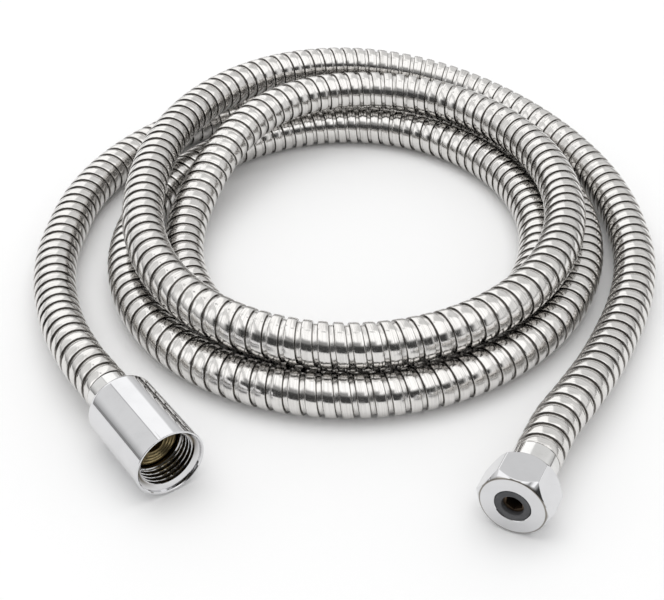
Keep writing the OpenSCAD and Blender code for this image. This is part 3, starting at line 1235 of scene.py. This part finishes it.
@dataclass(frozen=True)
class BarbedStem:
    """The stem that the liner is pushed on to, from its tip to the tail's shoulder.

    Attributes:
        length: Length of the stem.
        radius: Radius at the foot of each barb.
        bevel: How much narrower its tip is.
        barb: Height of a barb.
        pitch: Distance between barbs.
        land: Straight length in front of each barb.
        back: Length in which a barb drops off.
        clear: Length without barbs at the shoulder.
    """

    length: float
    radius: float
    bevel: float = 0.3 * MM
    barb: float = 0.3 * MM
    pitch: float = 6.0 * MM
    land: float = 1.0 * MM
    back: float = 0.1 * MM
    clear: float = 2.0 * MM

    def corners(self) -> Corners:
        """Corners of the stem's outside, for rounded().

        Returns:
            (along, radius, fillet) of each corner, all sharp.
        """
        foot, top = self.radius, self.radius + self.barb
        corners = [(0.0, foot - self.bevel, 0.0)]
        for i in range(int((self.length - self.clear) / self.pitch)):
            z = (i + 1) * self.pitch
            corners += [(z - self.pitch + self.land, foot, 0.0), (z, top, 0.0), (z + self.back, foot, 0.0)]
        return corners + [(self.length, foot, 0.0)]


@dataclass(frozen=True)
class HandsetFitting(Fitting):
    """The round nut's end: ferrule, brass tail and the nut itself.

    Attributes:
        nut_rear: Rear face of the nut.
        nut_mouth: Its mouth.
        rear_radius: Radius in front of the rounded shoulder.
        front_radius: Radius at the mouth.
        shoulder: Rounding of the shoulder.
        front_run: Length of the straight front, behind the mouth.
        front_blend: Rounding where the straight front starts.
        sleeve_bore: Radius of the bore that runs over the ferrule.
        seat: Step inside the nut that the slip ring bears on.
        counterbore: Radius of the bore round the slip ring and the tail's flange.
        thread_start: Where the thread's bore starts.
        thread_bore: Radius over the thread's crests.
        thread_depth: Depth of the thread.
        thread_pitch: Its pitch.
        thread_steps: Steps along the bore in each pitch.
        run_in: Length before the thread begins to form.
        run_out: Length of the bevel in front of the thread.
        recess: Radius of the plain recess in the mouth.
        recess_depth: Depth of the recess.
        mouth_chamfer: Chamfer round the recess.
        mouth_edge: Rounding of the mouth's outer edge.
        chamfer_edge: Rounding at the chamfer.
        rear_edge: Rounding of the bore's rear edge.
        plated_depth: Share of the thread's depth that the plating reaches.
        plating_edge: Width of the plating's edge.
        flange_back: Back of the tail's flange.
        flange_face: Its sealing face.
        flange_radius: Radius of the flange.
        flange_edge: Rounding at its back.
        face_edge: Rounding of the sealing face's edges.
        neck_radius: Radius of the tail's neck.
        tail_bore: Radius of the tail's bore.
        bore_wall: Thickness of the wall where the bore narrows.
        stem_bore: Radius of the bore in the stem.
        stem_radius: Radius of the stem.
        liner_stop: Where the liner stops on the stem.
        ring_margin: Distance from the flange's rim to the first turned ring.
        ring_pitch: Distance between the turned rings.
        ring_depth: Depth of the turned rings.
    """

    nut_rear: float = 0.0070
    nut_mouth: float = 0.0420
    rear_radius: float = 0.0119
    front_radius: float = 0.0121
    shoulder: float = 0.0026
    front_run: float = 0.0040
    front_blend: float = 0.02
    sleeve_bore: float = 0.00825
    seat: float = 0.0264
    counterbore: float = 0.0091
    thread_start: float = 0.0310
    thread_bore: float = 0.0093155
    thread_depth: float = 0.0011
    thread_pitch: float = 0.001814
    thread_steps: int = 24
    run_in: float = 0.0006
    run_out: float = 0.0007
    recess: float = 0.0112
    recess_depth: float = 0.0013
    mouth_chamfer: float = 0.0003
    mouth_edge: float = 0.00025
    chamfer_edge: float = 0.0001
    rear_edge: float = 0.0002
    # plated_depth: Share of the thread's depth that the plating reaches, below which the bare brass and its
    # painted shade are full.
    plated_depth: float = 0.75
    plating_edge: float = 0.0001
    flange_back: float = 0.0280
    flange_face: float = 0.0305
    flange_radius: float = 0.00875
    flange_edge: float = 0.0002
    face_edge: float = 0.0003
    neck_radius: float = 0.0065
    tail_bore: float = 0.0038
    bore_wall: float = 0.0015
    stem_bore: float = 0.0021
    stem_radius: float = 0.0027
    liner_stop: float = 0.0205
    ring_margin: float = 0.0008
    ring_pitch: float = 0.00115
    ring_depth: float = 0.00025

    @property
    def thread_stop(self) -> float:
        """Where the thread's bore ends and the bevel to the recess starts."""
        return self.nut_mouth - self.recess_depth - self.run_out

    def build_ferrule(self) -> Object:
        """The smooth sleeve."""
        ferrule = Ferrule(length=0.022, neck_radius=self.neck_radius).build("handset_sleeve")
        return self.placed(ferrule, "hose", "handset_ferrule", FERRULE_STEEL, "ferrule")

    def build_nut(self) -> Object:
        """The long round nut with its thread.

        Returns:
            The nut, in place.
        """
        mouth, chamfer = self.nut_mouth, self.mouth_chamfer
        outline = rounded(
            [
                (self.nut_rear, self.sleeve_bore, self.rear_edge),
                (self.nut_rear, self.rear_radius, self.shoulder),
                (mouth - self.front_run, self.front_radius, self.front_blend),
                (mouth, self.front_radius, self.mouth_edge),
                (mouth, self.recess + chamfer, self.chamfer_edge),
                (mouth - chamfer, self.recess, 0),
                (mouth - self.recess_depth, self.recess, 0),
                (self.thread_stop, self.thread_bore, 0),
                (self.thread_start, self.thread_bore, 0),
                (self.thread_start, self.counterbore, 0),
                (self.seat, self.counterbore, 0),
                (self.seat, self.sleeve_bore, 0),
            ],
            steps=8,
        )
        step = self.thread_pitch / self.thread_steps
        outline = subdivided(outline, self.thread_start, self.thread_stop, step)
        thread = InnerThread(
            start=self.thread_start + self.run_in,
            stop=self.thread_stop + self.thread_pitch,
            depth=self.thread_depth,
            pitch=self.thread_pitch,
            bore=self.thread_bore,
        )
        nut = turned("round_swivel_nut", outline, segments=192, cut=thread.cut)
        self.mark_unplated_and_shade(nut)
        return self.placed(nut, "handset_nut", "handset_nut", CHROME, "round_nut")

    def mark_unplated_and_shade(self, nut: Object) -> None:
        """Marks the thread's roots and the bore behind it, which the plating doesn't reach, for bare brass
        darkened as painted shade.

        Args:
            nut: The nut, drawn along +Z.
        """
        x, y, z = places_of(nut).T
        radius = np.hypot(x, y)
        edge = self.plating_edge
        # The deeper into the thread's roots, the more bare brass and painted shade.
        root = np.clip((radius - self.thread_bore) / (self.plated_depth * self.thread_depth), 0, 1)
        root = root * (z > self.thread_start) * (z < self.thread_stop + 2 * edge) * (radius < self.recess)
        behind = (z < self.thread_start + self.run_in) & (radius < self.thread_bore + edge)
        set_values(nut, "unplated_and_shade", np.where(behind, 1.0, root))

    def face_rings(self) -> Corners:
        """The rings turned into the tail's sealing face, from its rim inwards.

        Returns:
            (along, radius, fillet) of each corner, all sharp.
        """
        corners = []
        radius = self.flange_radius - self.ring_margin
        while radius > self.tail_bore + self.ring_pitch:
            corners += [
                (self.flange_face, radius, 0),
                (self.flange_face - self.ring_depth, radius - self.ring_pitch / 4, 0),
                (self.flange_face, radius - self.ring_pitch / 2, 0),
            ]
            radius -= self.ring_pitch
        return corners

    def build_tail(self) -> Object:
        """The brass tail, with rings turned into its sealing face.

        Returns:
            The tail, in place.
        """
        narrows = self.liner_stop + self.bore_wall
        corners = [
            *BarbedStem(self.liner_stop, self.stem_radius).corners(),
            (self.liner_stop, self.neck_radius, 0),
            (self.flange_back, self.neck_radius, 0),
            (self.flange_back, self.flange_radius, self.flange_edge),
            (self.flange_face, self.flange_radius, self.face_edge),
            *self.face_rings(),
            (self.flange_face, self.tail_bore, self.face_edge),
            (narrows, self.tail_bore, 0),
            (narrows, self.stem_bore, 0),
            (0.0, self.stem_bore, 0),
        ]
        tail = turned("handset_brass_tail", rounded(corners))
        return self.placed(tail, "hose", "handset_tail", TURNED_BRASS, "brass")


@dataclass(frozen=True)
class WallFitting(Fitting):
    """The hexagon nut's end: ferrule, washer and the nut itself.

    Attributes:
        nut_rear: Rear face of the nut.
        nut_mouth: Its mouth.
        across_flats: Width over two flats.
        hexagon_turn: Angle in degrees from the axes to a corner, at rest.
        corner_edge: Rounding of the hexagon's corners.
        flat_steps: Steps along each flat.
        corner_steps: Steps round each corner.
        face_radius: Radius of the flat ring on each face.
        chamfer_angle: Angle in degrees between a face and the chamfer round it.
        chamfer_line: Share of the chamfer next to the mouth's face that keeps its line.
        edge: Rounding between the faces, the chamfers and the flats.
        face_rim: Width of the outermost strip of the mouth's face.
        line_width: Width of the painted shade line on the face's rim.
        painted_line_shade: How far the painted shade line on the face's rim darkens towards the bare colour.
        mouth_radius: Radius of the mouth.
        mouth_chamfer: Chamfer round the mouth.
        neck_bore: Radius of the bore that the tail runs through.
        seat: Step inside the nut that the slip ring bears on.
        thread_depth: Depth of the thread.
        thread_pitch: Its pitch.
        thread_steps: Steps along the bore in each pitch.
        thread_inset: Length without thread at each end of the bore.
        crease: Angle in degrees above which an edge of the nut is sharp.
        washer_back: Back of the washer.
        washer_radius: Radius of the washer.
        washer_bore: Radius of its hole.
        washer_dish: Depth of its hollow.
        dish_blend: Rounding in the hollow.
        back_edge: Rounding of the washer's back edges.
        rim_edge: Rounding of its outer edge at the mouth.
        bore_edge: Rounding of its hole at the mouth.
    """

    nut_rear: float = 0.0089
    nut_mouth: float = 0.0219
    across_flats: float = 0.0220
    hexagon_turn: float = 30.0
    corner_edge: float = 0.0006
    flat_steps: int = 24
    corner_steps: int = 6
    face_radius: float = 0.0107
    chamfer_angle: float = 52.0
    chamfer_line: float = 0.35
    edge: float = 0.0003
    face_rim: float = 0.0004
    # The painted shade line on the rim of the mouth's face.
    line_width: float = 0.0002
    painted_line_shade: float = 0.8
    mouth_radius: float = 0.0059
    mouth_chamfer: float = 0.00015
    neck_bore: float = 0.00455
    seat: float = 0.0119
    thread_depth: float = 0.0004
    thread_pitch: float = 0.0010
    thread_steps: int = 8
    thread_inset: float = 0.002
    crease: float = 24.0
    washer_back: float = 0.0199
    washer_radius: float = 0.00578
    washer_bore: float = 0.0036
    washer_dish: float = 0.00012
    dish_blend: float = 0.004
    back_edge: float = 0.0002
    rim_edge: float = 0.0004
    bore_edge: float = 0.0003

    def build_ferrule(self) -> Object:
        """The smooth sleeve."""
        ferrule = Ferrule(length=0.0085, neck_radius=0.0042).build("wall_sleeve")
        return self.placed(ferrule, "hose", "wall_ferrule", FERRULE_STEEL, "ferrule")

    def hexagon(self) -> Profile:
        """The hexagon's outline with its corners rounded.

        Returns:
            (angle, radius) of each point.
        """
        reach = (self.across_flats / 2 - self.corner_edge) / math.cos(math.pi / 6)
        corners = []
        for degrees in range(0, 360, 60):
            angle = math.radians(degrees)
            centre = (reach * math.cos(angle), reach * math.sin(angle))
            corners.append(arc(centre, self.corner_edge, degrees - 30, degrees + 30, self.corner_steps))
        outline = []
        for corner, after in zip(corners, corners[1:] + corners[:1]):
            start, stop = Vector(corner[-1]), Vector(after[0])
            flat = [tuple(start.lerp(stop, k / self.flat_steps)) for k in range(1, self.flat_steps)]
            outline += corner + flat
        return [(math.atan2(y, x), math.hypot(x, y)) for x, y in outline]

    def column(self, radius: float) -> Profile:
        """The nut's closed outline at a place where the hexagon has a given radius.

        Args:
            radius: The hexagon's radius there.

        Returns:
            (along, radius) of each point, as many at every place.
        """
        rear, mouth, face, share = self.nut_rear, self.nut_mouth, self.face_radius, self.chamfer_line
        lip = mouth - self.mouth_chamfer
        chamfer = (radius - face) * math.tan(math.radians(self.chamfer_angle))
        corners = [
            (rear, self.neck_bore, 0),
            (rear, face, self.edge),
            (rear + chamfer, radius, self.edge),
            (mouth - chamfer, radius, self.edge),
            (mouth - share * chamfer, face + share * (radius - face), 0),
            (mouth, face, self.edge),
            (mouth, face - self.face_rim, 0),
            (mouth, self.mouth_radius + self.mouth_chamfer, 0),
            (lip, self.mouth_radius, 0),
            (self.seat, self.mouth_radius, 0),
            (self.seat, self.neck_bore, 0),
        ]
        return subdivided(rounded(corners, steps=3), self.seat, lip, self.thread_pitch / self.thread_steps)

    def build_nut(self) -> Object:
        """The hexagon nut, its corners chamfered round both faces.

        Returns:
            The nut, in place.
        """
        thread = InnerThread(
            start=self.seat + self.thread_inset,
            stop=self.nut_mouth - self.thread_inset,
            depth=self.thread_depth,
            pitch=self.thread_pitch,
            bore=self.mouth_radius,
        )
        rows = []
        for angle, radius in self.hexagon():
            z, r = np.array(self.column(radius)).T
            turn = np.full_like(z, angle)
            r = r + thread.cut(turn, z, r)
            rows.append(np.stack([r * np.cos(turn), r * np.sin(turn), z], -1))
        faces = grid_faces(len(rows), len(rows[0]))
        nut = mesh_object("hexagon_swivel_nut", np.array(rows).reshape(-1, 3), faces)
        nut = finish_mesh(nut, self.crease)
        nut.data.transform(Matrix.Rotation(math.radians(self.hexagon_turn), 4, "Z"))
        x, y, z = places_of(nut).T
        # Painted shade: a dark line round the rim of the mouth's face.
        on_rim = np.abs(np.hypot(x, y) - self.face_radius) < self.line_width
        on_line = on_rim & (z > self.nut_mouth - self.line_width)
        set_values(nut, "unplated_and_shade", np.where(on_line, self.painted_line_shade, 0.0))
        return self.placed(nut, "wall_nut", "wall_nut", CHROME, "hex_nut")

    def build_washer(self) -> Object:
        """The flush rubber washer, pressed slightly hollow.

        Returns:
            The washer, in place.
        """
        back, face = self.washer_back, self.nut_mouth
        outline = rounded(
            [
                (back, self.washer_bore, self.back_edge),
                (back, self.washer_radius, self.back_edge),
                (face, self.washer_radius, self.rim_edge),
                (face - self.washer_dish, (self.washer_radius + self.washer_bore) / 2, self.dish_blend),
                (face, self.washer_bore, self.bore_edge),
            ]
        )
        washer = turned("rubber_washer", outline)
        return self.placed(washer, "hose", "wall_washer", WASHER_RUBBER, "washer")


CARRIED_NODES = (
    ("wall_tail", DULL_BRASS, "brass"),
    ("handset_slip_ring", ACETAL, "slip_ring"),
    ("wall_slip_ring", ACETAL, "slip_ring"),
)


def dress_carried_nodes() -> list[Object]:
    """Gives the CAD nodes that stay in view their finishes.

    Returns:
        The wall tail and the two slip rings.
    """
    for node, _, _ in CARRIED_NODES:
        LOG.info("%s keeps its CAD shape", node)
    return [dress(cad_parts[node], finish) for node, finish, slot in CARRIED_NODES]


# ---------------------------------------------------------------------------
# The studio
# ---------------------------------------------------------------------------


@dataclass(frozen=True)
class Card:
    """A soft-edged patch of the room that bright metal shows.

    Attributes:
        light: Strength inside the patch.
        x: Lowest and highest sideways part of the directions in it.
        y: The same for the part towards the back of the room.
        z: The same for the upward part.
        edge: Width of its soft edge.
    """

    light: float
    x: Span = (-2.0, 2.0)
    y: Span = (-2.0, 2.0)
    z: Span = (-2.0, 2.0)
    edge: float = 0.04

    def cover(self, graph: NodeGraph, parts: Sequence[Socket]) -> Socket:
        """How far the card covers what is behind it.

        Args:
            graph: Node tree of the room.
            parts: Sockets that give the sideways, backward and upward parts of a direction.

        Returns:
            The socket that gives 1 inside the card and 0 outside it.
        """
        half = self.edge / 2
        sides = []
        for part, (low, high) in zip(parts, (self.x, self.y, self.z)):
            if low > -1:
                sides.append(graph.ranged(part, (low - half, low + half)))
            if high < 1:
                sides.append(graph.ranged(part, (high + half, high - half)))
        cover = sides[0]
        for side in sides[1:]:
            cover = graph.number("MULTIPLY", cover, side)
        return cover


ROOM_CARDS = (
    Card(0.34, x=(-2.0, -0.50), y=(-2.0, 0.36), z=(-1.0, 0.20), edge=0.42),
    Card(1.30, x=(-2.0, -0.60), y=(-2.0, 0.12), z=(0.37, 2.0), edge=0.05),
    Card(1.34, x=(-0.46, 2.0), y=(-2.0, 0.45), z=(0.62, 2.0), edge=0.06),
    Card(1.30, x=(-0.46, 0.06), y=(0.42, 2.0), z=(0.22, 2.0), edge=0.06),
    Card(1.30, x=(-2.0, -0.30), y=(0.66, 2.0), z=(0.12, 2.0), edge=0.10),
    Card(0.80, x=(0.07, 2.0), y=(0.40, 2.0), z=(0.06, 2.0), edge=0.08),
    Card(0.55, x=(0.02, 2.0), y=(0.30, 2.0), z=(-1.0, 0.22), edge=0.26),
    Card(0.25, x=(-0.10, 2.0), y=(0.30, 2.0), z=(-1.0, 0.06), edge=0.05),
    Card(0.58, x=(-0.475, -0.445), y=(-2.0, 0.62), z=(0.52, 2.0), edge=0.012),
    Card(0.32, x=(-0.37, -0.27), y=(0.46, 0.56), z=(0.60, 2.0), edge=0.025),
    Card(0.60, x=(-0.12, 0.12), y=(0.21, 0.31), z=(0.85, 2.0), edge=0.03),
    Card(0.22, z=(-1.0, 0.028), edge=0.02),
    Card(0.22, z=(0.062, 0.090), edge=0.016),
    Card(0.32, x=(-0.60, 0.20), y=(-2.0, -0.36), z=(-1.0, 0.80), edge=0.16),
    Card(0.05, x=(-0.80, 0.80), y=(-2.0, -0.42), z=(-1.0, 0.57), edge=0.18),
)


@dataclass(frozen=True)
class Studio:
    """A pale floor, a soft white room and the camera.

    Attributes:
        camera_place: Where the camera stands.
        camera_pitch: Angle that it looks down at, in degrees.
        focal_pixels: Focal length in pixels of the frame.
        sensor: Width of the camera's sensor, in millimetres.
        near: Distance from the camera at which the view starts.
        floor_size: Width of the floor.
        floor_colour: Colour of the floor.
        floor_roughness: Its roughness.
        floor_gloss: Its specular level.
        room_light: Strength of the room's light on everything dull.
        wall_light: Strength of the room's walls as bright metal shows them.
        cards: What hangs in front of the walls, from the back to the front.
        lamp_place: Where the lamp hangs.
        lamp_size: Its width and depth.
        lamp_power: Its power in watts.
    """

    camera_place: tuple[float, float, float] = (-0.00561, -0.41359, 0.2995)
    camera_pitch: float = 37.0
    focal_pixels: float = 1305.0
    sensor: float = 36.0
    near: float = 0.01
    floor_size: float = 6.0
    floor_colour: Colour = (0.96, 0.96, 0.96)
    floor_roughness: float = 0.75
    floor_gloss: float = 0.25
    room_light: float = 0.78
    wall_light: float = 0.88
    cards: tuple[Card, ...] = ROOM_CARDS
    lamp_place: tuple[float, float, float] = (-0.1, 0.2, 1.3)
    lamp_size: tuple[float, float] = (1.6, 1.2)
    lamp_power: float = 7.0

    def camera(self) -> None:
        """Makes the camera and chooses it."""
        data = bpy.data.cameras.new("camera")
        data.sensor_fit = "HORIZONTAL"
        data.sensor_width = self.sensor
        data.lens = self.focal_pixels * self.sensor / FRAME_WIDTH
        data.clip_start = self.near
        camera = bpy.data.objects.new("camera", data)
        camera.location = self.camera_place
        camera.rotation_euler = (math.radians(90 - self.camera_pitch), 0, 0)
        bpy.context.scene.collection.objects.link(camera)
        bpy.context.scene.camera = camera

    def floor(self) -> None:
        """Makes the floor that the hose lies on."""
        half = self.floor_size / 2
        corners = np.array([(-half, -half, 0), (half, -half, 0), (half, half, 0), (-half, half, 0)])
        floor = mesh_object("floor", corners, [(0, 1, 2, 3)])
        shader = Shader("floor_white")
        shader.principled.inputs["Base Color"].default_value = (*self.floor_colour, 1)
        shader.principled.inputs["Roughness"].default_value = self.floor_roughness
        shader.principled.inputs["Specular IOR Level"].default_value = self.floor_gloss
        floor.data.materials.append(shader.material)

    def room(self) -> None:
        """Makes the white room, with cards in it that only bright metal shows."""
        world = bpy.data.worlds.new("white_room")
        bpy.context.scene.world = world
        world.use_nodes = True
        graph = NodeGraph(world.node_tree)
        graph.nodes.clear()
        direction = graph.node("ShaderNodeTexCoord").outputs["Generated"]
        parts = graph.node("ShaderNodeSeparateXYZ", {0: direction}).outputs
        mirrored: Socket | float = self.wall_light
        for card in self.cards:
            mirrored = graph.blended(card.cover(graph, parts), mirrored, card.light)
        path = graph.node("ShaderNodeLightPath").outputs
        strength = graph.blended(path["Is Glossy Ray"], self.room_light, mirrored)
        seen = graph.number("MAXIMUM", path["Is Camera Ray"], path["Is Transmission Ray"])
        strength = graph.blended(seen, strength, 1.0)
        background = graph.node("ShaderNodeBackground", {"Color": (1, 1, 1, 1), "Strength": strength})
        graph.node("ShaderNodeOutputWorld", {"Surface": background.outputs[0]})

    def lamp(self) -> None:
        """Hangs one large soft lamp overhead."""
        data = bpy.data.lights.new("overhead", "AREA")
        data.shape = "RECTANGLE"
        data.size, data.size_y = self.lamp_size
        data.energy = self.lamp_power
        lamp = bpy.data.objects.new("overhead", data)
        lamp.location = self.lamp_place
        lamp.visible_glossy = False
        bpy.context.scene.collection.objects.link(lamp)

    def build(self) -> None:
        """Makes the whole studio."""
        self.camera()
        self.floor()
        self.room()
        self.lamp()
        bpy.context.scene.view_settings.view_transform = "Standard"


def main() -> None:
    """Builds the hose, its fittings and the studio."""
    logging.basicConfig(level=logging.INFO, format="%(message)s")
    Studio().build()
    hose = Hose()
    sheath, liner, route = hose.build()
    handset = HandsetFitting(End.HANDSET, hose.lay)
    handset.build_ferrule()
    handset.build_tail()
    handset.build_nut()
    wall = WallFitting(End.WALL, hose.lay)
    wall_pieces = [wall.build_ferrule(), wall.build_nut(), wall.build_washer()]
    wall_pieces += [obj for obj in dress_carried_nodes() if obj.name.startswith(End.WALL.value)]
    hose.declare()
    bpy.context.view_layer.update()


if __name__ == "__main__":
    main()
